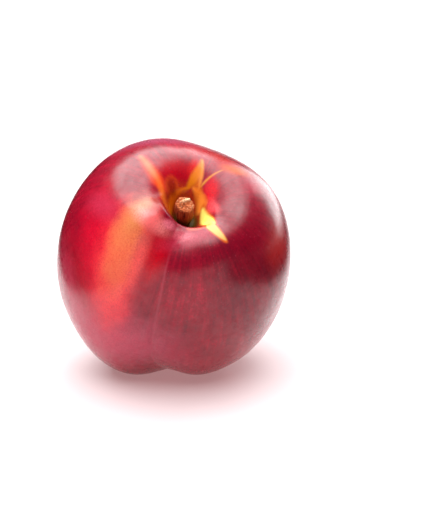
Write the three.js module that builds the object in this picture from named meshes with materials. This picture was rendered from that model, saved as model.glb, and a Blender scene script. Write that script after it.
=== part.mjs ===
// A whole nectarine at rest: the grown fruit with its stem cavity and suture, and the short woody stem
// left in the cavity. Millimetres, +Z up, the suture's side towards -Y. The origin is on the resting
// surface, below the middle of the fruit's box.
import * as THREE from "three";
import { mergeVertices } from "three/addons/utils/BufferGeometryUtils.js";

// Driving dimensions, in millimetres and degrees. A polar angle is counted from the body's axis, an
// azimuth about that axis from the fruit's front, positive to the right. The cavity's and the seat's
// angles are counted in the same way from the stem's axis, which the body's front draws towards it. A
// spread is the distance from a feature's middle at which it has fallen to about a third.

// The plump body before anything is pressed into it: a superellipsoid, longer at the back.
const BODY = { cheek: 35.0, suture: 32.0, back: 37.9, stemEnd: 39.1, tipEnd: 36.1, squareness: 2.24 };

// The cavity is a funnel about the stem's axis, wider at the back, and the axis tilts to the front.
const STEM_TILT = 6.3;
const FUNNEL = { spread: 12.7, lopsided: 0.45, towards: 146, steepness: 1.6 };

// The flat seat at the funnel's foot, where the stem stands.
const SEAT = { height: 24.8, radius: 2.4, blend: 3.6 };

// The suture's path over the body: its azimuth, its slight bow, and its swing to the right under the
// fruit.
const SUTURE = { azimuth: -25.8, bow: 3.9, swing: 19.4, swingPolar: 150, swingSpread: 32 };

// The groove along the suture: shallow over the front, deeper at the cavity's lip and under the fruit.
const GROOVE = {
  width: 8,
  frontDepth: 0.5,
  lip: { depth: 2.4, polar: 23.5, spread: 11.7 },
  foot: { depth: 2.85, polar: 126, spread: 28 },
  starts: [6, 16],
  ends: [162, 177],
  sides: [55, 90],
};

// Swells and hollows of the body: [height, azimuth, azimuth spread, polar angle, polar spread]. The
// first one's azimuth is counted from the suture, and it fades out towards the blossom end.
const LEFT_LOBE = [2.24, -28, 26, 121, 45];
const LEFT_SHOULDER = [3.7, -49.5, 24, 21.8, 10.5];
const LEFT_LIP = [1.45, -64, 26.5, 13.3, 5];
const BACK_SADDLE = [-3.35, 150, 34, 44, 24];
const LOBE_FADES = [140, 178];

// How the fruit lies: its axis leans forwards and a little to the right, and its underside is
// flattened where it rests on both lobes.
const LEAN = 37.6;
const LEAN_SIDE = 13.7;
const FOOT = { sink: 1.1, blend: 0.3 };

// The stem: a stub of stalk with a torn end, leaning a little back and to the left from its axis.
const STEM = { radius: 2.65, length: 8.5, baseRadius: 1.7, leanBack: 3.5, leanLeft: 5.5, shift: -0.3 };
const STEM_GAP = 0.5;
const TORN_END = { slope: 0.22, ridge: 0.45, dish: 0.5 };
const STALK_WAVES = [[2, 0.05, 0.3], [3, 0.04, 1.9], [7, 0.02, 1.0]];

// How finely the surfaces are divided. Rows crowd towards the stem, columns towards the suture.
const FRUIT_ROWS = 56;
const FRUIT_COLUMNS = 72;
const ROW_CROWDING = 1.3;
const COLUMN_CROWDING = 0.55;
const STEM_SIDES = 24;

const SKIN = new THREE.MeshStandardMaterial({ name: "nectarine_skin", color: 0x9c1430, roughness: 0.3 });
const BARK = new THREE.MeshStandardMaterial({ name: "dry_stem", color: 0x6b4027, roughness: 0.85 });

const ACROSS = new THREE.Vector3(1, 0, 0);
const { clamp, degToRad, euclideanModulo, radToDeg, smoothstep } = THREE.MathUtils;

/** A smooth swell of height 1 about a middle. */
function swell(value, middle, spread) {
  return Math.exp(-(((value - middle) / spread) ** 2));
}

/** An angle in degrees brought to the range -180 to 180. */
function wrap(angle) {
  return euclideanModulo(angle + 180, 360) - 180;
}

/** A swell or hollow of the body at a place on it. */
function feature([height, azimuth, azimuthSpread, polar, polarSpread], placePolar, placeAzimuth) {
  const around = swell(wrap(placeAzimuth - azimuth), 0, azimuthSpread);
  return height * around * swell(placePolar, polar, polarSpread);
}

/** The suture's azimuth at a polar angle. */
function sutureAzimuth(polar) {
  const bow = SUTURE.bow * Math.sin(degToRad(polar));
  return SUTURE.azimuth + bow + SUTURE.swing * swell(polar, SUTURE.swingPolar, SUTURE.swingSpread);
}

/** The distance from the fruit's middle to the plump body, before the cavity and the groove. */
function plumpRadius(polar, azimuth) {
  const across = Math.sin(degToRad(polar));
  const along = Math.cos(degToRad(polar));
  const turned = degToRad(azimuth - SUTURE.azimuth);
  const depth = Math.cos(turned) > 0 ? BODY.suture : BODY.back;
  const girth = Math.hypot((across * Math.cos(turned)) / depth, (across * Math.sin(turned)) / BODY.cheek);
  const height = Math.abs(along) / (along > 0 ? BODY.stemEnd : BODY.tipEnd);
  return (girth ** BODY.squareness + height ** BODY.squareness) ** (-1 / BODY.squareness);
}

/** How far the stem cavity is pressed in, at angles counted from the stem's axis. */
function cavityDepth(polar, azimuth) {
  const spread = FUNNEL.spread * (1 + FUNNEL.lopsided * Math.cos(degToRad(azimuth - FUNNEL.towards)));
  return (BODY.stemEnd - SEAT.height) * Math.exp(-((polar / spread) ** FUNNEL.steepness));
}

/** How deep the suture's groove is, at a distance round the body from the suture. */
function grooveDepth(polar, offset, radius) {
  const quarterTurn = Math.min(Math.max(offset, -90), 90);
  const aside = radius * Math.sin(degToRad(polar)) * Math.sin(degToRad(quarterTurn));
  const { lip, foot } = GROOVE;
  const atLip = lip.depth * swell(polar, lip.polar, lip.spread);
  const atFoot = foot.depth * swell(polar, foot.polar, foot.spread);
  const run = smoothstep(polar, ...GROOVE.starts) * (1 - smoothstep(polar, ...GROOVE.ends));
  const nearby = 1 - smoothstep(Math.abs(offset), ...GROOVE.sides);
  return (GROOVE.frontDepth + atLip + atFoot) * run * nearby * swell(aside, 0, GROOVE.width);
}

/** Brings a radius down to the stem's flat seat close to the stem's axis. */
function withSeat(radius, polar) {
  if (polar > 45) return radius;
  const seat = SEAT.height / Math.cos(degToRad(polar));
  const onSeat = 1 - smoothstep(seat * Math.sin(degToRad(polar)), SEAT.radius, SEAT.radius + SEAT.blend);
  return THREE.MathUtils.lerp(radius, seat, onSeat);
}

/** The direction from the fruit's middle at angles counted from an upright axis. */
function direction(polar, azimuth) {
  const [out, around] = [Math.sin(degToRad(polar)), degToRad(azimuth)];
  return new THREE.Vector3(out * Math.sin(around), -out * Math.cos(around), Math.cos(degToRad(polar)));
}

/** A point of the fruit's surface with the body's axis upright, at angles from the stem's axis. */
function fruitPoint(stemPolar, stemAzimuth) {
  const way = direction(stemPolar, stemAzimuth).applyAxisAngle(ACROSS, degToRad(STEM_TILT));
  const polar = radToDeg(Math.acos(clamp(way.z, -1, 1)));
  const azimuth = radToDeg(Math.atan2(way.x, -way.y));
  const offset = wrap(azimuth - sutureAzimuth(polar));
  let radius = plumpRadius(polar, azimuth) - cavityDepth(stemPolar, stemAzimuth);
  radius -= grooveDepth(polar, offset, radius);
  radius += feature(LEFT_LOBE, polar, offset) * (1 - smoothstep(polar, ...LOBE_FADES));
  for (const swelling of [LEFT_SHOULDER, LEFT_LIP, BACK_SADDLE]) radius += feature(swelling, polar, azimuth);
  return way.multiplyScalar(withSeat(radius, stemPolar));
}

/** A closed skin over rings of points, from a single first point to a single last point. */
function skinOver(first, rings, last) {
  const sides = rings[0].length;
  const points = [first, ...rings.flat(), last];
  const faces = [];
  const corner = (ring, side) => 1 + ring * sides + (side % sides);
  for (let side = 0; side < sides; side += 1) {
    faces.push(0, corner(0, side), corner(0, side + 1));
    faces.push(corner(rings.length - 1, side), points.length - 1, corner(rings.length - 1, side + 1));
  }
  for (let ring = 0; ring < rings.length - 1; ring += 1) {
    for (let side = 0; side < sides; side += 1) {
      const [upper, upperNext] = [corner(ring, side), corner(ring, side + 1)];
      const [lower, lowerNext] = [corner(ring + 1, side), corner(ring + 1, side + 1)];
      faces.push(upper, lower, lowerNext, upper, lowerNext, upperNext);
    }
  }
  const geometry = new THREE.BufferGeometry().setFromPoints(points);
  geometry.setIndex(faces);
  const merged = mergeVertices(geometry);
  merged.computeVertexNormals();
  return merged;
}

/** The turn that lays the fruit's axis forwards and to the side. */
function lyingTurn() {
  return new THREE.Euler(degToRad(LEAN), 0, degToRad(LEAN_SIDE), "ZXY");
}

/** Flattens the underside where the fruit rests, and returns how far it was raised to stand at zero. */
function settle(geometry) {
  geometry.computeBoundingBox();
  const rise = -(geometry.boundingBox.min.z + FOOT.sink);
  const position = geometry.attributes.position;
  for (let index = 0; index < position.count; index += 1) {
    const height = position.getZ(index) + rise;
    const eased = (height + FOOT.blend) ** 2 / (4 * FOOT.blend);
    if (height <= -FOOT.blend) position.setZ(index, 0);
    else position.setZ(index, height < FOOT.blend ? eased : height);
  }
  return rise;
}

/** The fruit's skin as it lies, and the place of its middle above the resting surface. */
function makeFruit() {
  const rings = [];
  for (let row = 1; row < FRUIT_ROWS; row += 1) {
    const polar = 180 * (row / FRUIT_ROWS) ** ROW_CROWDING;
    const ring = [];
    for (let column = 0; column < FRUIT_COLUMNS; column += 1) {
      const turn = (column / FRUIT_COLUMNS) * 2 * Math.PI;
      const offset = ((turn - COLUMN_CROWDING * Math.sin(turn)) * 180) / Math.PI;
      ring.push(fruitPoint(polar, sutureAzimuth(polar) + offset));
    }
    rings.push(ring);
  }
  const geometry = skinOver(fruitPoint(0, 0), rings, fruitPoint(180, 0));
  geometry.applyMatrix4(new THREE.Matrix4().makeRotationFromEuler(lyingTurn()));
  const rise = settle(geometry);
  geometry.computeBoundingBox();
  const middle = geometry.boundingBox.getCenter(new THREE.Vector3());
  geometry.translate(-middle.x, -middle.y, 0);
  geometry.computeVertexNormals();
  const fruit = new THREE.Mesh(geometry, SKIN);
  fruit.name = "fruit";
  return { fruit, place: new THREE.Vector3(-middle.x, -middle.y, rise) };
}

/** The stalk's radius at an angle round it, as a share of the even one: a little wavy. */
function stalkRadius(angle) {
  const waves = STALK_WAVES.map(([count, depth, start]) => depth * Math.cos(count * angle + start));
  return 1 + waves.reduce((total, wave) => total + wave, 0);
}

/** The height of the torn end above or below the stem's length, at a place on the end. */
function tornHeight(x, y) {
  const dish = TORN_END.dish * swell(Math.hypot(x, y), 0, STEM.radius / 2);
  const ridge = TORN_END.ridge * swell(y, STEM.radius / 2, STEM.radius / 3);
  return ridge - dish - TORN_END.slope * x;
}

/** The stem, standing on its own base. */
function makeStem() {
  const { radius, length, baseRadius } = STEM;
  const endRings = [0.45, 0.8, 1].map((share) => [share * (radius - 0.2), length]);
  const sideRings = [
    [radius, length - 0.5],
    [radius * 0.97, length * 0.65],
    [radius * 0.92, length * 0.38],
    [radius * 0.8, length * 0.2],
    [baseRadius, 0],
  ];
  const rings = [...endRings, ...sideRings].map(([ringRadius, height], index) => {
    const ring = [];
    for (let side = 0; side < STEM_SIDES; side += 1) {
      const angle = (side / STEM_SIDES) * 2 * Math.PI;
      const reach = ringRadius * stalkRadius(angle);
      const [x, y] = [reach * Math.cos(angle), reach * Math.sin(angle)];
      const torn = index <= endRings.length ? tornHeight(x, y) : 0;
      ring.push(new THREE.Vector3(x, y, height + torn));
    }
    return ring;
  });
  const top = new THREE.Vector3(0, 0, length + tornHeight(0, 0));
  const stem = new THREE.Mesh(skinOver(top, rings, new THREE.Vector3(0, 0, 0)), BARK);
  stem.name = "stem";
  return stem;
}

/** The whole nectarine. */
function makeNectarine() {
  const { fruit, place } = makeFruit();
  const stem = makeStem();
  stem.position.set(STEM.shift, 0, SEAT.height + STEM_GAP);
  stem.rotation.set(degToRad(-STEM.leanBack), degToRad(-STEM.leanLeft), 0);
  const stemAxis = new THREE.Group();
  stemAxis.rotation.x = degToRad(STEM_TILT);
  stemAxis.add(stem);
  const axis = new THREE.Group();
  axis.rotation.copy(lyingTurn());
  axis.position.copy(place);
  axis.add(stemAxis);
  const nectarine = new THREE.Group();
  nectarine.name = "nectarine";
  nectarine.add(fruit, axis);
  return nectarine;
}

export default makeNectarine();
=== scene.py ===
"""A whole nectarine at rest: waxy skin, stem cavity, suture and torn stem, on a pale floor.

Lengths are in millimetres and angles in degrees until a mesh is finished, and MM turns them into the
scene's metres. The frame is that of the solids: +Z up, the suture's side towards -Y, the origin on the
floor below the middle of the fruit.
"""

import logging
import math
import random
from dataclasses import dataclass, field
from enum import Enum

import bmesh
import bpy
from bmesh.types import BMesh
from bpy.types import Material, Node, NodeTree, Object
from bpy.types import NodeSocket as Socket
from mathutils import Euler, Matrix, Vector, noise


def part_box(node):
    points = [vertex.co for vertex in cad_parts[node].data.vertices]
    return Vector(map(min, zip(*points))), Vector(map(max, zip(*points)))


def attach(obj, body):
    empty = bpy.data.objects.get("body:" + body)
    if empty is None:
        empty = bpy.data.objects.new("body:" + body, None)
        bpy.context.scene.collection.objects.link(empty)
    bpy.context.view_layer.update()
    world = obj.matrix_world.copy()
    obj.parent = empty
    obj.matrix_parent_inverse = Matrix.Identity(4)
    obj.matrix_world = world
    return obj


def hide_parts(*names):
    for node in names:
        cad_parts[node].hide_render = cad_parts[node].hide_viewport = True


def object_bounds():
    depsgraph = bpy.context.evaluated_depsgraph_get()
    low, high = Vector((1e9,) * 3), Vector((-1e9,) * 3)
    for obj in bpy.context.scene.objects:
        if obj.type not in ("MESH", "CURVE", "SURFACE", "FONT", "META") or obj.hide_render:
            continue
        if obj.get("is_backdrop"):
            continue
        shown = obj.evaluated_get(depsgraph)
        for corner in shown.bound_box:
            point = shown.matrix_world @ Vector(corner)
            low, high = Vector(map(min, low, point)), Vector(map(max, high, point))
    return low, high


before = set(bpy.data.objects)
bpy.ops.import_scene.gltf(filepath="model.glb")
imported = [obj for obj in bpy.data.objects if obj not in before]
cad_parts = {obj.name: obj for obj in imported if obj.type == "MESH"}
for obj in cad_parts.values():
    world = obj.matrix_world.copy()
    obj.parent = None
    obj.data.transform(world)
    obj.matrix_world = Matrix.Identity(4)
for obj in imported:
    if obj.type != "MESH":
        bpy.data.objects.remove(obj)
CAD_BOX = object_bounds()

MM = 0.001
LOG = logging.getLogger("nectarine")

Pair = tuple[float, float]
Triple = tuple[float, float, float]
Number = Socket | float
Colour = Socket | str
Given = Socket | float | str | tuple[float, ...]

# A fade is where it starts and ends, then its value at the start and at the end.
Fade = tuple[float, float, float, float]

# The places of a colour ramp and their colours.
Stops = tuple[tuple[float, str], ...]


def bell(value: float, middle: float, spread: float) -> float:
    """A smooth swell of height 1, which has fallen to about a third at the spread."""
    return math.exp(-(((value - middle) / spread) ** 2))


def wrap(angle: float) -> float:
    """Bring an angle in degrees to the range -180 to 180."""
    return (angle + 180.0) % 360.0 - 180.0


def ease(value: float, low: float, high: float) -> float:
    """Rise smoothly from 0 at the low value to 1 at the high one."""
    share = min(max((value - low) / (high - low), 0.0), 1.0)
    return share * share * (3.0 - 2.0 * share)


def from_upright(rise: float) -> float:
    """The angle from upright, in radians, of a way of length 1 that rises by this much."""
    return math.acos(min(max(rise, -1.0), 1.0))


def about_axis(out: float, azimuth: float, height: float) -> Vector:
    """The point at a distance from the upright axis, towards an azimuth, and at a height."""
    around = math.radians(azimuth)
    return Vector((out * math.sin(around), -out * math.cos(around), height))


def rotation(angle: float, axis: str) -> Matrix:
    """A turn about an axis, by an angle in degrees."""
    return Matrix.Rotation(math.radians(angle), 3, axis)


def linear_colour(hex_code: str) -> tuple[float, float, float, float]:
    """Turn a display colour such as "9c1430" into the linear colour that a shader takes.

    Args:
        hex_code: Six hexadecimal digits.

    Returns:
        Red, green, blue and an alpha of 1.
    """
    channels = []
    for start in (0, 2, 4):
        shown = int(hex_code[start : start + 2], 16) / 255.0
        channels.append(shown / 12.92 if shown <= 0.04045 else ((shown + 0.055) / 1.055) ** 2.4)
    return (*channels, 1.0)


# ---- Shader wiring


@dataclass(frozen=True)
class Grain:
    """One smooth noise: its lumps in one unit, its finer octaves and how strong those are."""

    scale: float
    octaves: float
    strength: float


class Bench:
    """Places shader nodes in one tree and wires them together."""

    PER_ROW = 12
    STEP = (180.0, -220.0)

    def __init__(self, tree: NodeTree) -> None:
        """Work on an empty node tree."""
        self.tree = tree
        self.count = 0

    def add(self, kind: str, **settings: object) -> Node:
        """Place a node.

        Args:
            kind: The node's class name.
            **settings: Properties to set on it.

        Returns:
            The new node.
        """
        node = self.tree.nodes.new(kind)
        for name, value in settings.items():
            setattr(node, name, value)
        row, column = divmod(self.count, self.PER_ROW)
        node.location = (self.STEP[0] * column, self.STEP[1] * row)
        self.count += 1
        return node

    def feed(self, socket: Socket, value: Given) -> None:
        """Link a socket to another one, or give it a number, a triple or a display colour."""
        if isinstance(value, Socket):
            self.tree.links.new(value, socket)
        else:
            socket.default_value = linear_colour(value) if isinstance(value, str) else value

    def wire(self, node: Node, *terms: Given, **values: Given) -> Node:
        """Feed a node's inputs.

        Args:
            node: The node.
            *terms: What its first inputs take, in their order.
            **values: What other inputs take, by name with underscores for spaces.

        Returns:
            The same node.
        """
        for socket, term in zip(node.inputs, terms):
            self.feed(socket, term)
        for name, value in values.items():
            self.feed(node.inputs[name.replace("_", " ")], value)
        return node

    def math(self, operation: str, *terms: Number) -> Socket:
        """Work out a number with a Math node's operation."""
        return self.wire(self.add("ShaderNodeMath", operation=operation), *terms).outputs[0]

    def times(self, first: Number, second: Number) -> Socket:
        """Multiply two numbers."""
        return self.math("MULTIPLY", first, second)

    def vector(self, operation: str, *terms: Socket | Triple) -> Socket:
        """Work out a vector, or a number for a dot product or a length, with a Vector Math operation."""
        node = self.wire(self.add("ShaderNodeVectorMath", operation=operation), *terms)
        return node.outputs["Value" if operation in {"DOT_PRODUCT", "LENGTH"} else "Vector"]

    def combine(self, *terms: Number) -> Socket:
        """Put three numbers together as a vector."""
        return self.wire(self.add("ShaderNodeCombineXYZ"), *terms).outputs[0]

    def upward(self, whole: Socket) -> Socket:
        """Take the third number out of a vector."""
        return self.wire(self.add("ShaderNodeSeparateXYZ"), whole).outputs["Z"]

    def layer(self, name: str, output: str = "Fac") -> Socket:
        """Read a layer of the mesh, as a number or as a Vector."""
        return self.add("ShaderNodeAttribute", attribute_name=name).outputs[output]

    def ease(self, value: Number, low: Number, high: Number) -> Socket:
        """Rise smoothly from 0 at the low value to 1 at the high one."""
        return self.spread(value, low, high, 0.0, 1.0)

    def spread(self, value: Number, *fade: Number) -> Socket:
        """Carry a value smoothly through a fade, held at its ends."""
        node = self.add("ShaderNodeMapRange", interpolation_type="SMOOTHSTEP")
        return self.wire(node, value, *fade).outputs["Result"]

    def mix(self, factor: Number, first: Colour, second: Colour) -> Socket:
        """Blend two colours.

        Args:
            factor: How much of the second shows, from 0 to 1.
            first: A display colour or a socket.
            second: A display colour or a socket.

        Returns:
            The blended colour's socket.
        """
        node = self.add("ShaderNodeMix", data_type="RGBA", clamp_factor=True)
        self.feed(node.inputs["Factor"], factor)
        takers = [socket for socket in node.inputs if socket.type == "RGBA"]
        for taker, colour in zip(takers, (first, second)):
            self.feed(taker, colour)
        return next(socket for socket in node.outputs if socket.type == "RGBA")

    def noise(self, place: Socket, grain: Grain) -> Socket:
        """Read smooth noise of one kind at a place, from 0 to 1."""
        kind = {"Scale": grain.scale, "Detail": grain.octaves, "Roughness": grain.strength}
        node = self.add("ShaderNodeTexNoise", noise_dimensions="3D")
        return self.wire(node, Vector=place, **kind).outputs["Fac"]

    def wobble(self, place: Socket, grain: Grain) -> Socket:
        """Read smooth noise, from -0.5 to 0.5."""
        return self.math("SUBTRACT", self.noise(place, grain), 0.5)

    def ramp(self, value: Socket, stops: Stops) -> Socket:
        """Turn a number into a colour through a ramp.

        Args:
            value: The number, from 0 to 1.
            stops: Places on the ramp and their colours.

        Returns:
            The colour's socket.
        """
        node = self.wire(self.add("ShaderNodeValToRGB"), value)
        elements = node.color_ramp.elements
        while len(elements) < len(stops):
            elements.new(0.5)
        for element, (place, colour) in zip(elements, stops):
            element.position = place
            element.color = linear_colour(colour)
        return node.outputs["Color"]

    def effect(self, group: NodeTree, **values: Given) -> Socket:
        """Place a shared effect with its own values, and take its output."""
        return self.wire(self.add("ShaderNodeGroup", node_tree=group), **values).outputs[0]

    def bump(self, height: Socket, depth: float, strength: float) -> Socket:
        """Turn a fine relief into a normal, with the depth in millimetres and how much of it shows."""
        node = self.add("ShaderNodeBump")
        return self.wire(node, Height=height, Distance=depth * MM, Strength=strength).outputs["Normal"]


class Kind(Enum):
    """The kinds of socket that a shared effect has."""

    NUMBER = "NodeSocketFloat"
    VECTOR = "NodeSocketVector"


@dataclass
class Effects:
    """The shared shader effects, each built once as a node group."""

    ragged_edge: Grain = Grain(0.8, 3.0, 0.6)
    uneven_edge: Grain = Grain(0.11, 3.0, 0.55)
    strand: Grain = Grain(1.0, 3.0, 0.6)
    taper: float = 0.65
    overrun: float = 0.04
    tip_fade: Pair = (-0.02, 0.1)
    speck_core: float = 0.35
    streak: NodeTree = field(init=False)
    patch: NodeTree = field(init=False)
    strands: NodeTree = field(init=False)
    specks: NodeTree = field(init=False)

    def __post_init__(self) -> None:
        """Build every effect."""
        self._build_streak()
        self._build_patch()
        self._build_strands()
        self._build_specks()

    @staticmethod
    def _start(name: str, result: str, **inputs: Kind) -> tuple[Bench, dict[str, Socket], Socket]:
        """Open a new group with its sockets.

        Args:
            name: The group's name.
            result: The name of its one output, a number.
            **inputs: The kind of each input, by name with underscores for spaces.

        Returns:
            The group's bench, its inputs by name and the socket that takes its result.
        """
        tree = bpy.data.node_groups.new(name, "ShaderNodeTree")
        for label, kind in inputs.items():
            tree.interface.new_socket(label.replace("_", " "), in_out="INPUT", socket_type=kind.value)
        tree.interface.new_socket(result, in_out="OUTPUT", socket_type=Kind.NUMBER.value)
        bench = Bench(tree)
        source = bench.add("NodeGroupInput")
        target = bench.add("NodeGroupOutput")
        given = {label: source.outputs[label.replace("_", " ")] for label in inputs}
        return bench, given, target.inputs[0]

    @staticmethod
    def _measured(bench: Bench, length: Socket, reach: Socket) -> tuple[Socket, Socket]:
        """Measure how far a place lies along a length, and how far beside it.

        Args:
            bench: The group's bench.
            length: The length, as a vector.
            reach: The way from the length's start to the place.

        Returns:
            The share along the length, and the distance beside it.
        """
        squared = bench.vector("DOT_PRODUCT", length, length)
        along = bench.math("DIVIDE", bench.vector("DOT_PRODUCT", reach, length), squared)
        sideways = bench.vector("NORMALIZE", bench.vector("CROSS_PRODUCT", length, (0.0, 0.0, 1.0)))
        return along, bench.vector("DOT_PRODUCT", reach, sideways)

    def _build_streak(self) -> None:
        """Build a long mark that swells from its start and tapers to its tip, with a ragged edge."""
        bench, given, result = self._start(
            "tapered_streak", "Mask", Place=Kind.VECTOR, Start=Kind.VECTOR, Tip=Kind.VECTOR,
            Width=Kind.NUMBER, Bow=Kind.NUMBER, Softness=Kind.NUMBER, Raggedness=Kind.NUMBER,
            Strength=Kind.NUMBER, Swelled=Kind.NUMBER)
        run = bench.vector("SUBTRACT", given["Tip"], given["Start"])
        reach = bench.vector("SUBTRACT", given["Place"], given["Start"])
        along, across = self._measured(bench, run, reach)
        left = bench.math("SUBTRACT", 1.0, along)
        arch = bench.times(bench.times(along, left), 4.0)
        aside = bench.math("SUBTRACT", across, bench.times(arch, given["Bow"]))
        ragged = bench.times(bench.wobble(given["Place"], self.ragged_edge), given["Raggedness"])
        away = bench.math("ADD", bench.math("ABSOLUTE", aside), ragged)
        taper = bench.math("POWER", bench.math("MAXIMUM", left, 0.0), self.taper)
        swelling = bench.times(bench.ease(along, -self.overrun, given["Swelled"]), taper)
        inside = bench.math("SUBTRACT", bench.times(swelling, given["Width"]), away)
        mask = bench.ease(inside, bench.times(given["Softness"], -1.0), given["Softness"])
        started = bench.ease(along, -self.overrun, self.overrun)
        on_length = bench.times(started, bench.ease(left, *self.tip_fade))
        bench.feed(result, bench.times(bench.times(mask, on_length), given["Strength"]))
        self.streak = bench.tree

    def _build_patch(self) -> None:
        """Build a long round patch with a soft and uneven edge."""
        bench, given, result = self._start(
            "soft_patch", "Mask", Place=Kind.VECTOR, Middle=Kind.VECTOR, Half_Length=Kind.VECTOR,
            Half_Width=Kind.NUMBER, Softness=Kind.NUMBER, Unevenness=Kind.NUMBER,
            Strength=Kind.NUMBER)
        reach = bench.vector("SUBTRACT", given["Place"], given["Middle"])
        along, aside = self._measured(bench, given["Half_Length"], reach)
        across = bench.math("DIVIDE", aside, given["Half_Width"])
        out = bench.vector("LENGTH", bench.combine(along, across, 0.0))
        wobble = bench.wobble(given["Place"], self.uneven_edge)
        uneven = bench.math("MULTIPLY_ADD", wobble, given["Unevenness"], out)
        inner = bench.math("SUBTRACT", 1.0, given["Softness"])
        outer = bench.math("ADD", 1.0, given["Softness"])
        bench.feed(result, bench.times(bench.spread(uneven, inner, outer, 1.0, 0.0), given["Strength"]))
        self.patch = bench.tree

    def _build_strands(self) -> None:
        """Build fine strands: noise that is drawn out along the third axis."""
        bench, given, result = self._start(
            "strands", "Value", Place=Kind.VECTOR, Across=Kind.NUMBER, Along=Kind.NUMBER)
        drawn = bench.combine(given["Across"], given["Across"], given["Along"])
        place = bench.vector("MULTIPLY", given["Place"], drawn)
        bench.feed(result, bench.noise(place, self.strand))
        self.strands = bench.tree

    def _build_specks(self) -> None:
        """Build small scattered round specks of uneven size."""
        bench, given, result = self._start(
            "specks", "Mask", Place=Kind.VECTOR, Spacing=Kind.NUMBER, Size=Kind.NUMBER,
            Thinning=Kind.NUMBER, Strength=Kind.NUMBER)
        cells = bench.add("ShaderNodeTexVoronoi", voronoi_dimensions="3D", feature="F1")
        bench.wire(cells, Vector=given["Place"], Scale=bench.math("DIVIDE", 1.0, given["Spacing"]))
        far = bench.times(cells.outputs["Distance"], given["Spacing"])
        core = bench.times(given["Size"], self.speck_core)
        dot = bench.spread(far, core, given["Size"], 1.0, 0.0)
        lot = bench.wire(bench.add("ShaderNodeSeparateColor"), cells.outputs["Color"]).outputs[0]
        kept = bench.times(dot, bench.math("GREATER_THAN", lot, given["Thinning"]))
        bench.feed(result, bench.times(kept, given["Strength"]))
        self.specks = bench.tree


def new_material(name: str) -> tuple[Material, Bench, Node]:
    """Start a material with only its surface shader and its output.

    Args:
        name: The material's name.

    Returns:
        The material, its bench and its Principled BSDF.
    """
    material = bpy.data.materials.new(name)
    material.use_nodes = True
    material.node_tree.nodes.clear()
    bench = Bench(material.node_tree)
    surface = bench.add("ShaderNodeBsdfPrincipled")
    bench.wire(bench.add("ShaderNodeOutputMaterial"), Surface=surface.outputs["BSDF"])
    return material, bench, surface


# ---- Meshes


def set_down(name: str, mesh: BMesh, material: Material) -> Object:
    """Put a finished mesh in the scene.

    Args:
        name: The object's name.
        mesh: The mesh, in millimetres, where it lies.
        material: Its finish.

    Returns:
        The new object.
    """
    bmesh.ops.scale(mesh, vec=(MM, MM, MM), verts=mesh.verts)
    data = bpy.data.meshes.new(name)
    mesh.to_mesh(data)
    mesh.free()
    data.materials.append(material)
    thing = bpy.data.objects.new(name, data)
    bpy.context.scene.collection.objects.link(thing)
    return thing


def finish_piece(name: str, mesh: BMesh, material: Material, node: str) -> None:
    """Turn a finished mesh into a piece of the object.

    Args:
        name: The piece's name.
        mesh: The mesh, in millimetres, where it lies.
        material: Its finish.
        node: The solid that it stands for.
    """
    bmesh.ops.recalc_face_normals(mesh, faces=mesh.faces)
    piece = set_down(name, mesh, material)
    piece.data.shade_smooth()
    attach(piece, "root")
    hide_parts(node)
    LOG.info("%s: %d faces", name, len(piece.data.polygons))


@dataclass(frozen=True)
class Swell:
    """One swell or hollow of the body."""

    height: float
    azimuth: float
    azimuth_spread: float
    polar: float
    polar_spread: float

    def at(self, polar: float, azimuth: float) -> float:
        """Its height at a place on the body, in millimetres."""
        around = bell(wrap(azimuth - self.azimuth), 0.0, self.azimuth_spread)
        return self.height * around * bell(polar, self.polar, self.polar_spread)


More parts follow.
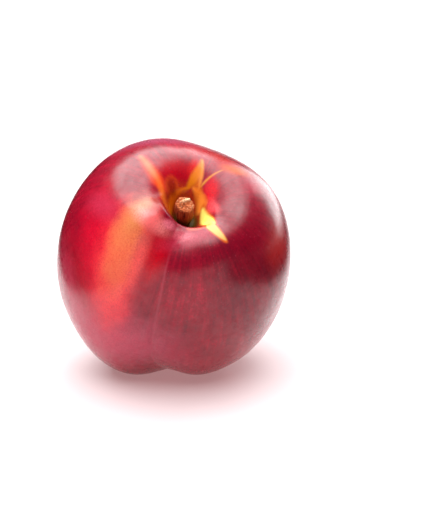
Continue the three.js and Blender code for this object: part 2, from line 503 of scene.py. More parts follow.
@dataclass(frozen=True)
class FruitShape:
    """The fruit's shape, as its distance from its middle in every direction.

    A polar angle is counted from the body's axis, an azimuth about that axis from the fruit's front,
    positive to the right. The cavity's and the seat's angles are counted in the same way from the
    stem's axis, which is tilted towards the front.
    """

    cheek: float = 35.0
    suture_side: float = 32.0
    back: float = 37.9
    stem_end: float = 39.1
    tip_end: float = 36.1
    squareness: float = 2.24

    stem_tilt: float = 6.3
    funnel_spread: float = 12.7
    funnel_lopsided: float = 0.45
    funnel_towards: float = 146.0
    funnel_steepness: float = 1.6
    seat_height: float = 24.8
    seat_radius: float = 2.4
    seat_blend: float = 3.6
    seat_limit: float = 45.0

    suture_azimuth: float = -25.8
    suture_bow: float = 3.9
    suture_swing: float = 19.4
    swing_place: Pair = (150.0, 32.0)
    groove_width: float = 8.0
    groove_front: float = 0.5
    groove_lip: Triple = (2.4, 23.5, 11.7)
    groove_foot: Triple = (2.85, 126.0, 28.0)
    groove_starts: Pair = (6.0, 16.0)
    groove_ends: Pair = (162.0, 177.0)
    groove_sides: Pair = (55.0, 90.0)
    crease_depth: float = 0.34
    crease_width: float = 1.3
    crease_steepness: float = 1.5

    left_lobe: Swell = Swell(2.24, -28.0, 26.0, 121.0, 45.0)
    lobe_fades: Pair = (140.0, 178.0)
    left_shoulder: Swell = Swell(3.7, -49.5, 24.0, 21.8, 10.5)
    left_lip: Swell = Swell(1.0, -62.0, 34.0, 13.3, 6.5)
    back_saddle: Swell = Swell(-3.35, 150.0, 34.0, 44.0, 24.0)

    lean: float = 37.6
    lean_side: float = 13.7
    foot_sink: float = 1.1
    foot_blend: float = 0.3

    def suture_at(self, polar: float) -> float:
        """The suture's azimuth at a polar angle."""
        bow = self.suture_bow * math.sin(math.radians(polar))
        return self.suture_azimuth + bow + self.suture_swing * bell(polar, *self.swing_place)

    def plump(self, polar: float, azimuth: float) -> float:
        """The plump body, before the cavity and the groove.

        Args:
            polar: The polar angle.
            azimuth: The azimuth.

        Returns:
            The body's radius there.
        """
        across = math.sin(math.radians(polar))
        along = math.cos(math.radians(polar))
        turned = math.radians(azimuth - self.suture_azimuth)
        depth = self.suture_side if math.cos(turned) > 0 else self.back
        girth = math.hypot(across * math.cos(turned) / depth, across * math.sin(turned) / self.cheek)
        height = abs(along) / (self.stem_end if along > 0 else self.tip_end)
        return (girth**self.squareness + height**self.squareness) ** (-1 / self.squareness)

    def cavity(self, polar: float, azimuth: float) -> float:
        """How far the stem cavity is pressed in.

        Args:
            polar: The polar angle, counted from the stem's axis.
            azimuth: The azimuth about that axis.

        Returns:
            The depth, in millimetres.
        """
        skew = self.funnel_lopsided * math.cos(math.radians(azimuth - self.funnel_towards))
        funnel = math.exp(-((polar / (self.funnel_spread * (1 + skew))) ** self.funnel_steepness))
        return (self.stem_end - self.seat_height) * funnel

    def groove(self, polar: float, offset: float, aside: float) -> float:
        """How deep the suture's groove and its fine crease are.

        Args:
            polar: The polar angle.
            offset: The azimuth counted from the suture.
            aside: The distance from the suture, in millimetres.

        Returns:
            The depth, in millimetres.
        """
        lip_depth, *lip = self.groove_lip
        foot_depth, *foot = self.groove_foot
        depth = self.groove_front + lip_depth * bell(polar, *lip) + foot_depth * bell(polar, *foot)
        crease = self.crease_depth * math.exp(-(abs(aside / self.crease_width) ** self.crease_steepness))
        run = ease(polar, *self.groove_starts) * (1 - ease(polar, *self.groove_ends))
        nearby = 1 - ease(abs(offset), *self.groove_sides)
        return (depth * bell(aside, 0.0, self.groove_width) + crease) * run * nearby

    def aside(self, polar: float, offset: float, radius: float) -> float:
        """The distance from the suture round the body, in millimetres."""
        quarter_turn = min(max(offset, -90.0), 90.0)
        return radius * math.sin(math.radians(polar)) * math.sin(math.radians(quarter_turn))

    def with_seat(self, radius: float, polar: float) -> float:
        """Bring a radius down to the stem's flat seat close to the stem's axis.

        Args:
            radius: The radius without the seat.
            polar: The polar angle, counted from the stem's axis.

        Returns:
            The radius with it.
        """
        if polar > self.seat_limit:
            return radius
        seat = self.seat_height / math.cos(math.radians(polar))
        out = seat * math.sin(math.radians(polar))
        away = ease(out, self.seat_radius, self.seat_radius + self.seat_blend)
        return radius + (seat - radius) * (1 - away)

    def place(self, stem_polar: float, stem_azimuth: float) -> tuple[Vector, float, float]:
        """A place on the skin, with the body's axis upright.

        Args:
            stem_polar: The polar angle, counted from the stem's axis.
            stem_azimuth: The azimuth about that axis.

        Returns:
            The point, its polar angle from the body's axis and its distance from the suture.
        """
        tilt = math.radians(stem_polar)
        way = about_axis(math.sin(tilt), stem_azimuth, math.cos(tilt))
        way.rotate(rotation(self.stem_tilt, "X"))
        polar = math.degrees(from_upright(way.z))
        azimuth = math.degrees(math.atan2(way.x, -way.y))
        offset = wrap(azimuth - self.suture_at(polar))
        radius = self.plump(polar, azimuth) - self.cavity(stem_polar, stem_azimuth)
        aside = self.aside(polar, offset, radius)
        radius -= self.groove(polar, offset, aside)
        radius += self.left_lobe.at(polar, offset) * (1 - ease(polar, *self.lobe_fades))
        for swelling in (self.left_shoulder, self.left_lip, self.back_saddle):
            radius += swelling.at(polar, azimuth)
        return way * self.with_seat(radius, stem_polar), polar, aside

    def turn(self) -> Matrix:
        """The turn that lays the fruit's axis forwards and to the side."""
        return rotation(self.lean_side, "Z") @ rotation(self.lean, "X")

    def settled(self, height: float) -> float:
        """Flatten the underside where the fruit rests.

        Args:
            height: A point's height above the floor, or below it.

        Returns:
            Its height once the fruit rests.
        """
        if height <= -self.foot_blend:
            return 0.0
        if height < self.foot_blend:
            return (height + self.foot_blend) ** 2 / (4 * self.foot_blend)
        return height


@dataclass(frozen=True)
class SkinRelief:
    """The gentle unevenness of the grown skin, in millimetres."""

    wave: float = 0.16
    wave_length: float = 13.0
    ripple: float = 0.035
    ripple_length: float = 4.2
    ripple_from: Triple = (7.0, 3.0, 1.0)
    starts: Pair = (6.0, 20.0)
    pucker: float = 0.22
    pucker_length: float = 1.7
    pucker_place: Pair = (21.0, 6.0)
    pucker_reach: float = 3.5

    def at(self, point: Vector, polar: float, aside: float) -> float:
        """The relief at a point.

        Args:
            point: The point, in millimetres.
            polar: Its polar angle.
            aside: Its distance from the suture.

        Returns:
            How far the skin stands out or in there.
        """
        waves = self.wave * noise.noise(point / self.wave_length)
        ripples = self.ripple * noise.noise(point / self.ripple_length + Vector(self.ripple_from))
        near = bell(polar, *self.pucker_place) * bell(aside, 0.0, self.pucker_reach)
        puckers = self.pucker * near * noise.noise(point / self.pucker_length)
        return (waves + ripples) * ease(polar, *self.starts) + puckers


@dataclass(frozen=True)
class Mark:
    """A mark on the skin, whose sizes are its shared effect's inputs."""

    def mask(self, bench: Bench, group: NodeTree, place: Socket) -> Socket:
        """Where it shows and how strongly, from 0 to 1."""
        sizes = {name.title(): (*size, 0.0) if isinstance(size, tuple) else size
                 for name, size in vars(self).items()}
        return bench.effect(group, Place=place, **sizes)


@dataclass(frozen=True)
class Streak(Mark):
    """One tapered mark, in degrees on the skin's map."""

    start: Pair
    tip: Pair
    width: float
    bow: float = 0.0
    softness: float = 0.5
    raggedness: float = 0.8
    strength: float = 1.0
    swelled: float = 0.16


@dataclass(frozen=True)
class Patch(Mark):
    """One soft patch, in degrees on the skin's map."""

    middle: Pair
    half_length: Pair
    half_width: float
    softness: float = 0.5
    unevenness: float = 0.6
    strength: float = 1.0


@dataclass(frozen=True)
class Specks(Mark):
    """One kind of scattered speck, in millimetres, thinned by the share that is left out."""

    spacing: float
    size: float
    thinning: float
    strength: float


@dataclass(frozen=True)
class SkinFinish:
    """The waxy skin: deep crimson, with a coral cheek and orange and yellow marks round the stem.

    The skin's map spreads the surface out flat round the stem: x runs to the right and y to the back,
    and a place's distance from the map's middle is its polar angle. The marks are laid on in order,
    with their colours. Some of them are painted light: pale pink painted highlights on the cavity's
    front lips, a cream top to the cheek that is partly a painted highlight, a mauve painted reflection
    of the floor low on the left, and painted shade on the cavity's floor. The bottom of the cavity is
    painted dark olive shade, the underside is painted lighter as if lit by the floor, and the suture's
    pale line is partly a painted highlight. Where the skin is wiped, its wax is thinner.
    """

    maroon: str = "66031a"
    crimson: str = "82051f"
    scarlet: str = "a40829"
    cloud: Grain = Grain(0.045, 3.0, 0.55)
    stipple: Grain = Grain(1.3, 4.0, 0.75)
    lines: Pair = (26.0, 4.0)
    line_drift: float = 0.01
    unevenness: float = 0.7
    turns_crimson: Pair = (0.3, 0.62)
    turns_scarlet: Pair = (0.6, 0.85)
    # Painted light: the underside is painted a lighter red, standing in for light from the pale floor
    # below.
    underside: str = "b41a30"
    underside_fade: Fade = (70.0, 120.0, 0.0, 0.4)
    mottle: Grain = Grain(2.0, 5.0, 0.85)
    mottle_fade: Fade = (0.38, 0.62, 0.5, 1.0)
    # Partly painted shade: the cavity's olive ground colour, painted dark as it looks in shade.
    olive: str = "4c3a10"
    olive_fade: Fade = (6.0, 10.0, 0.95, 0.0)
    # Partly painted highlight: the pale pink line along the suture's crease.
    suture_line: str = "b04a58"
    suture_fade: Fade = (0.0, 0.6, 0.25, 0.0)
    suture_starts: Pair = (22.0, 34.0)
    specks: tuple[tuple[str, Specks], ...] = (
        ("b84a5c", Specks(1.15, 0.24, 0.5, 0.22)),
        ("4c0210", Specks(0.8, 0.22, 0.6, 0.25)),
    )
    pits: Grain = Grain(2.6, 4.0, 0.65)
    pores: Specks = Specks(1.3, 0.34, 0.35, 0.8)
    relief: Pair = (0.02, 0.6)
    dullness: Grain = Grain(0.35, 4.0, 0.6)
    roughness_fade: Fade = (0.3, 0.7, 0.23, 0.35)
    sheen_level: float = 0.05
    wax_fade: Fade = (7.0, 12.0, 0.0, 0.7)
    wax_roughness: float = 0.26
    bloom: Grain = Grain(0.45, 4.0, 0.7)
    bloom_fade: Fade = (0.3, 0.7, 0.8, 1.2)
    wiped: tuple[Patch, ...] = (
        Patch((0.5, 7.0), (17.5, 0.0), 19.0, 0.2, 0.2, 0.89),
        Patch((-16.5, -19.5), (-5.0, -8.0), 4.5, 0.7, 0.5, 0.8),
        Patch((-56.0, -4.0), (-4.0, 18.0), 8.0, 0.8, 0.5, 0.75),
        Patch((27.0, -25.0), (9.0, -7.0), 7.0, 0.8, 0.5, 0.6),
        Patch((23.5, 22.0), (8.5, -4.5), 4.0, 0.8, 0.5, 0.65),
        Patch((16.2, -9.0), (1.6, -5.0), 3.0, 0.8, 0.5, 0.5),
    )
    marks: tuple[tuple[str, Patch | Streak], ...] = (
        ("ae0622", Patch((-60.0, -30.0), (-7.0, -36.0), 24.0, 0.8, 0.8, 0.9)),
        ("bc3450", Patch((-80.0, -14.0), (0.0, -26.0), 10.0, 0.9, 0.8, 0.75)),
        # Painted reflection: a wide mauve wash low on the left front stands in for the pale floor's
        # reflection.
        ("c44460", Patch((-60.0, -64.0), (44.0, -24.0), 20.0, 0.8, 0.8, 0.75)),
        ("d00a2a", Patch((-47.0, -22.0), (-9.0, -30.0), 12.0, 0.8, 0.7, 0.9)),
        ("ea3c40", Patch((-41.5, -27.5), (-12.0, -22.5), 10.5, 0.6, 0.8, 0.95)),
        ("d66a42", Patch((-33.0, -17.0), (-12.5, -15.5), 7.5, 0.7, 0.9, 0.95)),
        ("cc7a48", Patch((-27.5, -7.5), (-8.0, -6.0), 5.0, 0.9, 0.9, 0.7)),
        # Partly painted highlight: the cheek's cream top, paler where the light from above catches it.
        ("a87c4c", Patch((-22.5, -4.0), (-4.0, -4.5), 3.6, 0.9, 0.8, 0.45)),
        ("b00014", Patch((-19.5, -24.0), (-6.5, -10.0), 5.0, 0.6, 0.5, 0.95)),
        ("a4506c", Patch((-6.0, 44.0), (20.0, -1.0), 5.5, 0.9, 0.8, 0.65)),
        ("dc4440", Patch((-26.3, -23.3), (-5.2, -7.8), 2.7, 0.8, 0.5, 0.9)),
        # Painted highlight: pale pink on the cavity's left lip.
        ("f29490", Patch((-18.6, -8.8), (4.8, -4.8), 2.8, 0.9, 0.4, 0.9)),
        ("a8324c", Patch((-38.0, 6.0), (-6.0, 8.0), 5.0, 0.9, 0.6, 0.6)),
        ("9c3846", Patch((31.5, 10.5), (2.0, 6.0), 4.0, 0.9, 0.8, 0.7)),
        ("560212", Patch((24.0, -14.0), (5.0, -16.0), 9.0, 0.9, 0.8, 0.75)),
        ("cc2c34", Patch((-17.5, -9.5), (-2.0, -5.0), 3.2, 0.9, 0.7, 0.75)),
        # Painted highlight: pale pink on the cavity's front lip, left of the suture.
        ("e27082", Patch((-11.2, -11.6), (2.2, -0.4), 1.7, 0.8, 0.5, 0.8)),
        ("b03048", Patch((-3.8, -18.1), (10.0, 1.5), 3.0, 0.9, 0.6, 0.8)),
        # Painted highlight: a pale pink band on the cavity's front rim, right of the suture.
        ("e87a86", Patch((-5.8, -16.2), (3.8, -0.8), 1.9, 0.9, 0.3, 0.5)),
        ("9c1a10", Patch((45.0, -17.0), (-6.0, -10.0), 8.0, 0.8, 0.8, 0.8)),
        ("a01e10", Patch((22.5, 29.0), (4.0, -9.0), 5.0, 0.8, 0.8, 0.8)),
        ("b85014", Patch((26.0, 19.5), (5.5, -1.5), 3.0, 0.8, 0.7, 0.9)),
        ("a60c14", Patch((13.0, 36.0), (9.0, 4.0), 6.0, 0.9, 0.9, 0.7)),
        ("cc0414", Patch((13.0, 9.5), (1.5, 5.5), 3.0, 0.7, 0.5, 0.9)),
        ("ee5458", Patch((12.7, 1.0), (-0.6, 4.2), 2.0, 0.8, 0.5, 0.9)),
        ("a40610", Patch((-3.0, 20.0), (10.0, 1.0), 5.0, 0.6, 0.5, 0.8)),
        ("b8140a", Patch((6.5, 22.0), (2.5, 3.6), 2.6, 0.7, 0.6, 0.85)),
        ("7a0410", Patch((-14.3, 2.5), (0.8, 6.5), 2.2, 0.5, 0.5, 0.85)),
        ("c63e18", Streak((-10.6, 7.0), (-18.0, 30.0), 3.6, 0.0, 2.0, 0.9, 0.9, 0.3)),
        ("cc6238", Streak((-11.4, 10.5), (-18.0, 30.0), 1.7, 0.0, 1.3, 0.8, 0.95, 0.4)),
        ("b63a0c", Patch((-0.8, 3.2), (0.0, 11.6), 10.6, 0.3, 0.3, 0.95)),
        # Painted shade: a near-black patch on the cavity's floor, in front of the stem.
        ("241a08", Patch((3.2, -1.6), (3.0, 2.6), 4.2, 0.6, 0.5, 0.85)),
        ("ba541c", Streak((-9.6, -6.0), (-12.4, 15.5), 2.3, -0.3, 1.2, 0.8, 0.95, 0.6)),
        ("d4680e", Streak((-9.4, 0.5), (4.5, 14.2), 1.3, -4.2, 0.8, 0.5)),
        ("f08c34", Streak((9.6, 2.0), (4.5, 14.5), 2.0, 1.6, 1.4, 0.5)),
        ("b8480e", Patch((-6.0, 13.4), (1.0, 4.1), 3.2, 0.3, 0.3, 0.45)),
        ("6e0408", Patch((-6.3, 13.0), (0.8, 3.0), 1.9, 0.5, 0.4, 0.85)),
        ("c05c10", Patch((7.4, 12.8), (-0.6, 4.0), 1.9, 0.6, 0.4, 0.9)),
        ("bc640a", Streak((0.0, 12.6), (11.6, 27.8), 3.2, 1.9, 1.1, 0.7, 0.95, 0.5)),
        ("c8742c", Streak((7.6, 12.0), (11.5, 27.2), 1.2, 0.3, 0.8, 0.5, 0.9, 0.4)),
        ("c07a2c", Streak((8.8, 13.2), (20.6, 19.6), 0.55, -0.7, 0.6, 0.3, 0.9)),
        ("d8583c", Streak((-4.0, -13.4), (8.0, -10.8), 0.6, 1.3, 0.9, 0.3, 0.8)),
        ("c4541a", Streak((6.8, -13.5), (10.2, 6.5), 3.0, 1.2, 0.8, 0.5)),
        ("c4541a", Streak((6.7, -9.8), (13.2, -21.3), 3.3, 0.85, 0.8, 0.5)),
        ("f0da68", Streak((7.0, -13.0), (10.0, 4.8), 2.3, 1.2, 0.6, 0.3)),
        ("bc9a4c", Streak((6.9, -10.5), (12.8, -20.2), 2.6, 0.85, 0.5, 0.3)),
    )

    def build(self, effects: Effects) -> Material:
        """Make the material.

        Args:
            effects: The shared effects.

        Returns:
            The finished material.
        """
        material, bench, surface = new_material("nectarine_skin")
        chart = bench.layer("skin_map", "Vector")
        polar = bench.upward(chart)
        flat = bench.vector("MULTIPLY", chart, (1.0, 1.0, 0.0))
        place = bench.vector("MULTIPLY", bench.add("ShaderNodeTexCoord").outputs["Object"], (1 / MM,) * 3)
        drift = bench.combine(0.0, 0.0, bench.times(polar, self.line_drift))
        rays = bench.vector("ADD", bench.vector("NORMALIZE", flat), drift)
        lines = bench.effect(effects.strands, Place=rays, Across=self.lines[0], Along=self.lines[1])
        tone = bench.noise(place, self.cloud)
        for change in (bench.math("SUBTRACT", lines, 0.5), bench.wobble(place, self.stipple)):
            tone = bench.math("MULTIPLY_ADD", change, self.unevenness, tone)
        colour = bench.mix(bench.ease(tone, *self.turns_crimson), self.maroon, self.crimson)
        colour = bench.mix(bench.ease(tone, *self.turns_scarlet), colour, self.scarlet)
        # Painted light: the skin turns a lighter red towards the underside, as if lit by the floor.
        colour = bench.mix(bench.spread(polar, *self.underside_fade), colour, self.underside)
        mottled = bench.spread(bench.noise(place, self.mottle), *self.mottle_fade)
        # The marks include painted highlights, a painted floor reflection and painted shade on the
        # cavity's floor.
        for shade, mark in self.marks:
            if isinstance(mark, Patch):
                shown = bench.times(mark.mask(bench, effects.patch, flat), mottled)
            else:
                shown = mark.mask(bench, effects.streak, flat)
            colour = bench.mix(shown, colour, shade)
        # Painted shade: the bottom of the cavity round the stem goes dark olive.
        colour = bench.mix(bench.spread(polar, *self.olive_fade), colour, self.olive)
        for shade, specks in self.specks:
            colour = bench.mix(specks.mask(bench, effects.specks, place), colour, shade)
        # The suture's pale line is partly a painted highlight on the crease's edge.
        line = bench.spread(bench.math("ABSOLUTE", bench.layer("suture_distance")), *self.suture_fade)
        lined = bench.times(line, bench.ease(polar, *self.suture_starts))
        wax = bench.spread(polar, *self.wax_fade)
        for patch in self.wiped:
            wax = bench.times(wax, bench.math("SUBTRACT", 1.0, patch.mask(bench, effects.patch, flat)))
        bloom = bench.spread(bench.noise(place, self.bloom), *self.bloom_fade)
        pores = self.pores.mask(bench, effects.specks, place)
        relief = bench.math("ADD", bench.noise(place, self.pits), pores)
        bench.wire(
            surface, Base_Color=bench.mix(lined, colour, self.suture_line),
            Roughness=bench.spread(bench.noise(place, self.dullness), *self.roughness_fade),
            Specular_IOR_Level=self.sheen_level, Coat_Weight=bench.times(wax, bloom),
            Coat_Roughness=self.wax_roughness, Normal=bench.bump(relief, *self.relief))
        return material


@dataclass
class Fruit:
    """The grown fruit: skin and flesh in one body."""

    shape: FruitShape = field(default_factory=FruitShape)
    relief: SkinRelief = field(default_factory=SkinRelief)
    finish: SkinFinish = field(default_factory=SkinFinish)
    columns: int = 384
    rows: int = 224
    row_crowding: float = 1.3
    column_crowding: float = 0.55

    def build(self, effects: Effects) -> Matrix:
        """Make the fruit.

        Args:
            effects: The shared shader effects.

        Returns:
            The place of the stem's axis, in millimetres, for what grows on it.
        """
        mesh = bmesh.new()
        bmesh.ops.create_uvsphere(mesh, u_segments=self.columns, v_segments=self.rows, radius=1.0)
        chart = mesh.verts.layers.float_vector.new("skin_map")
        distance = mesh.verts.layers.float.new("suture_distance")
        for vertex in mesh.verts:
            stem_polar, azimuth = self._direction(vertex.co)
            point, polar, aside = self.shape.place(stem_polar, azimuth)
            vertex.co = point + point.normalized() * self.relief.at(point, polar, aside)
            vertex[chart] = about_axis(stem_polar, azimuth, stem_polar)
            vertex[distance] = aside
        turn = self.shape.turn()
        bmesh.ops.rotate(mesh, cent=(0.0, 0.0, 0.0), matrix=turn, verts=mesh.verts)
        shift = self._settle(mesh)
        finish_piece("nectarine_fruit", mesh, self.finish.build(effects), "fruit")
        return Matrix.Translation(shift) @ turn.to_4x4() @ rotation(self.shape.stem_tilt, "X").to_4x4()

    def _direction(self, place: Vector) -> tuple[float, float]:
        """The polar angle and azimuth that a point of the even sphere moves to.

        Args:
            place: A point of the sphere of radius 1.

        Returns:
            Both angles, in degrees.
        """
        polar = 180.0 * (from_upright(place.z) / math.pi) ** self.row_crowding
        turn = math.atan2(place.x, -place.y)
        offset = math.degrees(turn - self.column_crowding * math.sin(turn))
        return polar, self.shape.suture_at(polar) + offset

    def _settle(self, mesh: BMesh) -> Vector:
        """Stand the mesh on the floor, flattened where it rests, in the middle of the solid's box.

        Args:
            mesh: The fruit's mesh, already leaning.

        Returns:
            How far the fruit's middle moved, in millimetres.
        """
        rise = -(min(vertex.co.z for vertex in mesh.verts) + self.shape.foot_sink)
        for vertex in mesh.verts:
            vertex.co.z = self.shape.settled(vertex.co.z + rise)
        low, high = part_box("fruit")
        shift = Vector((0.0, 0.0, rise))
        for axis in (0, 1):
            ends = [vertex.co[axis] for vertex in mesh.verts]
            shift[axis] = (low[axis] + high[axis]) / (2 * MM) - (min(ends) + max(ends)) / 2
        bmesh.ops.translate(mesh, vec=(shift.x, shift.y, 0.0), verts=mesh.verts)
        return shift


@dataclass(frozen=True)
class StemFinish:
    """Dry brown bark, turning dark olive towards its foot as painted shade down in the cavity, and torn
    fibres at the end, with painted shade in their pits and a partly painted highlight on their highest
    ridges.
    """

    bark: Stops = ((0.3, "54220f"), (0.5, "a85028"), (0.72, "b4683c"))
    strands: Pair = (2.2, 0.35)
    # Painted shade: the dark olive on the stem's foot, where it sinks into the cavity.
    foot: str = "625218"
    foot_fade: Fade = (3.0, 6.0, 0.85, 0.0)
    # Painted shade and highlight: the torn end is darkest in its low pits and palest on its highest
    # ridges.
    fibre: Stops = ((0.1, "40200f"), (0.24, "a85028"), (0.42, "ac5e34"), (0.97, "e6c49a"))
    lumps: Grain = Grain(2.4, 4.0, 0.65)
    lump_height: float = 0.5
    fray: Grain = Grain(7.0, 3.0, 0.7)
    relief: Pair = (0.1, 0.8)
    roughness: float = 0.9
    sheen_level: float = 0.3

    def build(self, effects: Effects) -> Material:
        """Make the material.

        Args:
            effects: The shared effects.

        Returns:
            The finished material.
        """
        material, bench, surface = new_material("torn_stem")
        chart = bench.layer("stem_map", "Vector")
        grain = bench.effect(effects.strands, Place=chart, Across=self.strands[0], Along=self.strands[1])
        # Painted shade: the stem turns dark olive towards its foot.
        low = bench.spread(bench.upward(chart), *self.foot_fade)
        bark = bench.mix(low, bench.ramp(grain, self.bark), self.foot)
        lumps = bench.wobble(chart, self.lumps)
        height = bench.math("MULTIPLY_ADD", lumps, self.lump_height, bench.layer("torn_height"))
        relief = bench.math("ADD", grain, bench.noise(chart, self.fray))
        # The torn end's colour paints shade in its pits and, partly, a highlight on its ridges.
        bench.wire(
            surface, Base_Color=bench.mix(bench.layer("torn_end"), bark, bench.ramp(height, self.fibre)),
            Roughness=self.roughness, Specular_IOR_Level=self.sheen_level,
            Normal=bench.bump(relief, *self.relief))
        return material


@dataclass(frozen=True)
class BarkRidges:
    """One kind of ridge on the bark: its height as a share, its lumps round and along, and its start."""

    height: float
    around: float
    along: float
    start: float

    def at(self, way: Vector, drop: float) -> float:
        """How far it stands out, towards a side and at a depth below the end, as a share."""
        place = Vector((self.around * way.x, self.around * way.y, self.along * drop + self.start))
        return self.height * noise.noise(place)


@dataclass
class Stem:
    """The stub of stalk left in the cavity: its round side, its torn end and loose splinters.

    A share runs from the middle of the end, 0, over the side to the middle of the base, 1.
    """

    finish: StemFinish = field(default_factory=StemFinish)
    radius: float = 2.65
    length: float = 9.0
    base_radius: float = 1.8
    base_height: float = 4.0
    base_rounding: float = 0.15
    base_reached: float = 0.92
    lean_back: float = 3.5
    lean_left: float = 5.5
    shift: float = -0.3
    seat_height: float = 24.75
    sides: int = 160
    rows: int = 120

    edge: float = 0.25
    edge_drop: float = 0.3
    end_share: float = 0.45
    end_crowding: float = 0.8
    end_overlap: float = 0.03
    rim_share: float = 0.52
    torn_share: float = 0.62

    bark: tuple[BarkRidges, ...] = (BarkRidges(0.09, 3.2, 0.25, 0.0), BarkRidges(0.07, 1.1, 0.3, 5.0))
    core: float = 0.6

    slope: float = 0.22
    ridge: float = 0.6
    ridge_slant: float = 0.35
    ridge_place: float = 0.42
    ridge_width: float = 0.2
    ridge_starts: Pair = (-2.2, 0.4)
    clump: float = 0.36
    clump_length: float = 0.85
    clump_level: float = 0.6
    clump_wall: float = 0.7
    clump_from: Triple = (3.1, 8.4, 0.0)
    stretch: Pair = (0.75, 1.25)
    fray: float = 0.16
    fray_length: float = 0.5
    fray_octaves: tuple[float, float, int] = (0.9, 2.0, 3)
    hollow: float = 0.12
    hollow_middle: Pair = (-0.5, -0.4)
    hollow_radius: float = 0.4
    torn_range: float = 1.1
    torn_level: float = 0.45

    splinters: int = 11
    seed: int = 4
    splinter_out: Pair = (0.45, 0.95)
    splinter_sunk: float = 0.35
    splinter_long: Pair = (0.6, 1.3)
    splinter_lean: Pair = (-0.6, 0.6)
    splinter_radius: Pair = (0.12, 0.2)
    splinter_point: float = 0.03
    splinter_sides: int = 7
    splinter_shade: float = 0.75

    def build(self, effects: Effects, place: Matrix) -> None:
        """Make the stem.

        Args:
            effects: The shared shader effects.
            place: The place of the stem's axis.
        """
        mesh = bmesh.new()
        bmesh.ops.create_uvsphere(mesh, u_segments=self.sides, v_segments=self.rows, radius=1.0)
        chart = mesh.verts.layers.float_vector.new("stem_map")
        height = mesh.verts.layers.float.new("torn_height")
        end = mesh.verts.layers.float.new("torn_end")
        for vertex in mesh.verts:
            share = from_upright(vertex.co.z) / math.pi
            angle = math.atan2(vertex.co.y, vertex.co.x)
            vertex.co, vertex[height] = self._surface(share, angle)
            vertex[end] = 1.0 - ease(share, self.end_share - self.end_overlap, self.rim_share)
        for splinter in self._add_splinters(mesh):
            splinter[height] = self.splinter_shade
            splinter[end] = 1.0
        for vertex in mesh.verts:
            vertex[chart] = vertex.co
        lean = Euler((math.radians(-self.lean_back), math.radians(-self.lean_left), 0.0)).to_matrix()
        seat = Matrix.Translation((self.shift, 0.0, self.seat_height))
        bmesh.ops.transform(mesh, matrix=place @ seat @ lean.to_4x4(), verts=mesh.verts)
        finish_piece("nectarine_stem", mesh, self.finish.build(effects), "stem")

    def _surface(self, share: float, angle: float) -> tuple[Vector, float]:
        """A point of the stem standing upright.

        Args:
            share: The way from the middle of the end to the middle of the base.
            angle: The angle round the stem, in radians.

        Returns:
            The point, and how high it stands in the torn end, from 0 to 1.
        """
        way = Vector((math.cos(angle), math.sin(angle), 0.0))
        if share <= self.end_share:
            out = (share / self.end_share) ** self.end_crowding * (self.radius - self.edge)
            drop = 0.0
        elif share <= self.rim_share:
            step = (share - self.end_share) / (self.rim_share - self.end_share)
            curve = math.cos(step * math.pi / 2)
            out = self.radius - self.edge * curve
            drop = self.edge_drop * (1 - curve)
        else:
            step = (share - self.rim_share) / (1 - self.rim_share)
            under = max(step - (1 - self.base_rounding), 0.0) / self.base_rounding
            out = self.radius * math.sqrt(max(1 - under**2, 0.0))
            drop = self.edge_drop + (self.length - self.edge_drop) * min(step / self.base_reached, 1.0)
        narrow = ease(self.length - drop, 0.0, self.base_height)
        out *= (self.base_radius + (self.radius - self.base_radius) * narrow) / self.radius
        rough = sum(ridges.at(way, drop) for ridges in self.bark)
        point = way * (out * (1 + rough * ease(out, self.core, self.radius)))
        torn = self._torn(point)
        sloped = (torn - self.slope * point.x) * (1 - ease(share, self.end_share, self.torn_share))
        shade = min(max(torn / self.torn_range + self.torn_level, 0.0), 1.0)
        return Vector((point.x, point.y, self.length - drop + sloped)), shade

    def _torn(self, point: Vector) -> float:
        """The torn end above or below its slope.

        Args:
            point: A point of the end.

        Returns:
            The height, in millimetres.
        """
        stretched = Vector((point.x * self.stretch[0], point.y * self.stretch[1], 0.0))
        cells = noise.voronoi(stretched / self.clump_length + Vector(self.clump_from))[0]
        clump = min(cells[1] - cells[0], self.clump_wall) / self.clump_wall
        fray = noise.fractal(stretched / self.fray_length, *self.fray_octaves)
        aside = point.y - self.ridge_slant * point.x
        ridge = bell(aside, self.radius * self.ridge_place, self.radius * self.ridge_width)
        ridge *= ease(point.x, *self.ridge_starts)
        away = math.hypot(point.x - self.hollow_middle[0], point.y - self.hollow_middle[1])
        hollow = bell(away, 0.0, self.radius * self.hollow_radius)
        raised = self.ridge * ridge + self.clump * (clump - self.clump_level)
        return raised + self.fray * fray - self.hollow * hollow

    def _add_splinters(self, mesh: BMesh) -> list[bmesh.types.BMVert]:
        """Stand loose splinters on the torn end and its rim.

        Args:
            mesh: The stem's mesh.

        Returns:
            The splinters' vertices.
        """
        draw = random.Random(self.seed)
        made = []
        for _ in range(self.splinters):
            angle = draw.uniform(0.0, 2 * math.pi)
            out = draw.uniform(*self.splinter_out) * self.radius
            foot = Vector((out * math.cos(angle), out * math.sin(angle), self.length - self.splinter_sunk))
            foot.z += self._torn(foot) - self.slope * foot.x
            long = draw.uniform(*self.splinter_long)
            tilt = Euler((draw.uniform(*self.splinter_lean), draw.uniform(*self.splinter_lean), 0.0))
            rise = Matrix.Translation((0.0, 0.0, long / 2))
            made += bmesh.ops.create_cone(
                mesh, cap_ends=True, cap_tris=True, segments=self.splinter_sides,
                radius1=draw.uniform(*self.splinter_radius), radius2=self.splinter_point, depth=long,
                matrix=Matrix.Translation(foot) @ tilt.to_matrix().to_4x4() @ rise)["verts"]
        return made


# ---- Studio


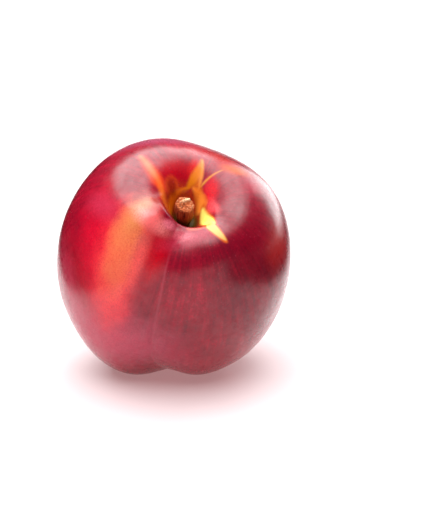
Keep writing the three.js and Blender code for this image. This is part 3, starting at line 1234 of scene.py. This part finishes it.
@dataclass(frozen=True)
class SoftLight:
    """One flat soft light that faces a target, in millimetres."""

    name: str
    place: Triple
    target: Triple
    wide: float
    tall: float
    brightness: float
    spread: float = 180.0

    def build(self) -> None:
        """Hang the light."""
        lamp = bpy.data.lights.new(self.name, "AREA")
        lamp.shape = "RECTANGLE"
        lamp.size = self.wide * MM
        lamp.size_y = self.tall * MM
        lamp.energy = self.brightness * math.pi * lamp.size * lamp.size_y
        lamp.spread = math.radians(self.spread)
        light = bpy.data.objects.new(self.name, lamp)
        way = Vector(self.target) - Vector(self.place)
        turn = way.to_track_quat("-Z", "Y").to_matrix().to_4x4()
        light.matrix_world = Matrix.Translation(Vector(self.place) * MM) @ turn
        bpy.context.scene.collection.objects.link(light)


@dataclass(frozen=True)
class BlackCard:
    """An upright black card that the waxy skin mirrors at one rim, in millimetres on the floor."""

    name: str
    start: Pair
    end: Pair
    tall: float

    def build(self, material: Material) -> None:
        """Stand the card on the floor, where only reflections show it.

        Args:
            material: The card's black finish.
        """
        mesh = bmesh.new()
        bmesh.ops.create_grid(mesh, x_segments=1, y_segments=1, size=0.5)
        start = Vector((*self.start, 0.0))
        run = Vector((*self.end, 0.0)) - start
        rise = Vector((0.0, 0.0, self.tall))
        spread = Matrix((run, rise, run.cross(rise).normalized())).transposed().to_4x4()
        middle = Matrix.Translation(start + (run + rise) / 2)
        bmesh.ops.transform(mesh, matrix=middle @ spread, verts=mesh.verts)
        card = set_down(self.name, mesh, material)
        card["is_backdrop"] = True
        card.visible_camera = False
        card.visible_diffuse = False
        card.visible_shadow = False


@dataclass(frozen=True)
class Studio:
    """The faintly lit pale floor, the soft lights, the black cards and the dim room round them."""

    floor_half: float = 4000.0
    floor_colour: str = "bcbabb"
    floor_roughness: float = 0.35
    # Painted light: the floor glows faintly pink, lightening the fruit's shadow and reddening it like
    # light bounced off the fruit.
    floor_glow: float = 0.33
    glow_colour: str = "ffc8ca"
    card_colour: str = "1a1a1a"
    card_roughness: float = 0.9
    room_colour: str = "404040"
    lights: tuple[SoftLight, ...] = (
        SoftLight("overhead_softbox", (-200.0, 0.0, 1000.0), (-200.0, 0.0, 0.0), 1300.0, 2000.0, 6.0),
        SoftLight("overhead_edge", (565.0, 0.0, 1000.0), (565.0, 0.0, 0.0), 230.0, 2000.0, 2.8),
        SoftLight("back_panel", (690.0, 980.0, 480.0), (0.0, 0.0, 30.0), 760.0, 1000.0, 4.5),
        SoftLight("background_light", (0.0, 1300.0, 700.0), (0.0, 1300.0, 0.0), 1600.0, 1200.0, 2.4, 60.0),
    )
    cards: tuple[BlackCard, ...] = (
        BlackCard("left_card", (-78.0, -100.0), (-112.0, 560.0), 100.0),
        BlackCard("right_card", (88.0, -100.0), (125.0, 400.0), 40.0),
    )

    def build(self) -> None:
        """Lay the floor, stand the cards, set the room's dim light and hang the soft lights."""
        material, bench, surface = new_material("pale_floor")
        # The floor's pink glow is painted bounce light in the fruit's shadow.
        bench.wire(surface, Base_Color=self.floor_colour, Roughness=self.floor_roughness,
                   Emission_Color=self.glow_colour, Emission_Strength=self.floor_glow)
        mesh = bmesh.new()
        bmesh.ops.create_grid(mesh, x_segments=1, y_segments=1, size=self.floor_half)
        set_down("studio_floor", mesh, material)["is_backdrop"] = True
        material, bench, surface = new_material("black_card")
        bench.wire(surface, Base_Color=self.card_colour, Roughness=self.card_roughness,
                   Specular_IOR_Level=0.0)
        for card in self.cards:
            card.build(material)
        world = bpy.data.worlds.new("dim_room")
        world.use_nodes = True
        world.node_tree.nodes["Background"].inputs["Color"].default_value = linear_colour(self.room_colour)
        bpy.context.scene.world = world
        bpy.context.scene.view_settings.view_transform = "Standard"
        for light in self.lights:
            light.build()


@dataclass(frozen=True)
class Viewpoint:
    """The camera, in millimetres and degrees."""

    aim: Triple = (12.6, 0.0, 35.4)
    elevation: float = 17.0
    distance: float = 420.0
    lens: float = 96.6
    sensor: float = 36.0
    nearest: float = 10.0
    farthest: float = 20000.0

    def build(self) -> None:
        """Set up the scene's camera."""
        rise = math.radians(self.elevation)
        back = Vector((0.0, -math.cos(rise), math.sin(rise)))
        camera = bpy.data.objects.new("camera", bpy.data.cameras.new("camera"))
        camera.data.lens = self.lens
        camera.data.sensor_width = self.sensor
        camera.data.clip_start = self.nearest * MM
        camera.data.clip_end = self.farthest * MM
        camera.location = (Vector(self.aim) + back * self.distance) * MM
        camera.rotation_euler = back.to_track_quat("Z", "Y").to_euler()
        bpy.context.scene.collection.objects.link(camera)
        bpy.context.scene.camera = camera


def write_sizes() -> None:
    """Write the solids' box and the dressed object's box side by side."""
    boxes = {"cad": CAD_BOX, "visual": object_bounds()}
    plain = {name: [list(corner) for corner in box] for name, box in boxes.items()}
    for name, box in plain.items():
        LOG.info("%s box: %s", name, box)


def main() -> None:
    """Build the nectarine and its studio."""
    logging.basicConfig(level=logging.INFO, format="%(name)s: %(message)s")
    effects = Effects()
    Viewpoint().build()
    Studio().build()
    axes = Fruit().build(effects)
    Stem().build(effects, axes)
    write_sizes()


if __name__ == "__main__":
    main()
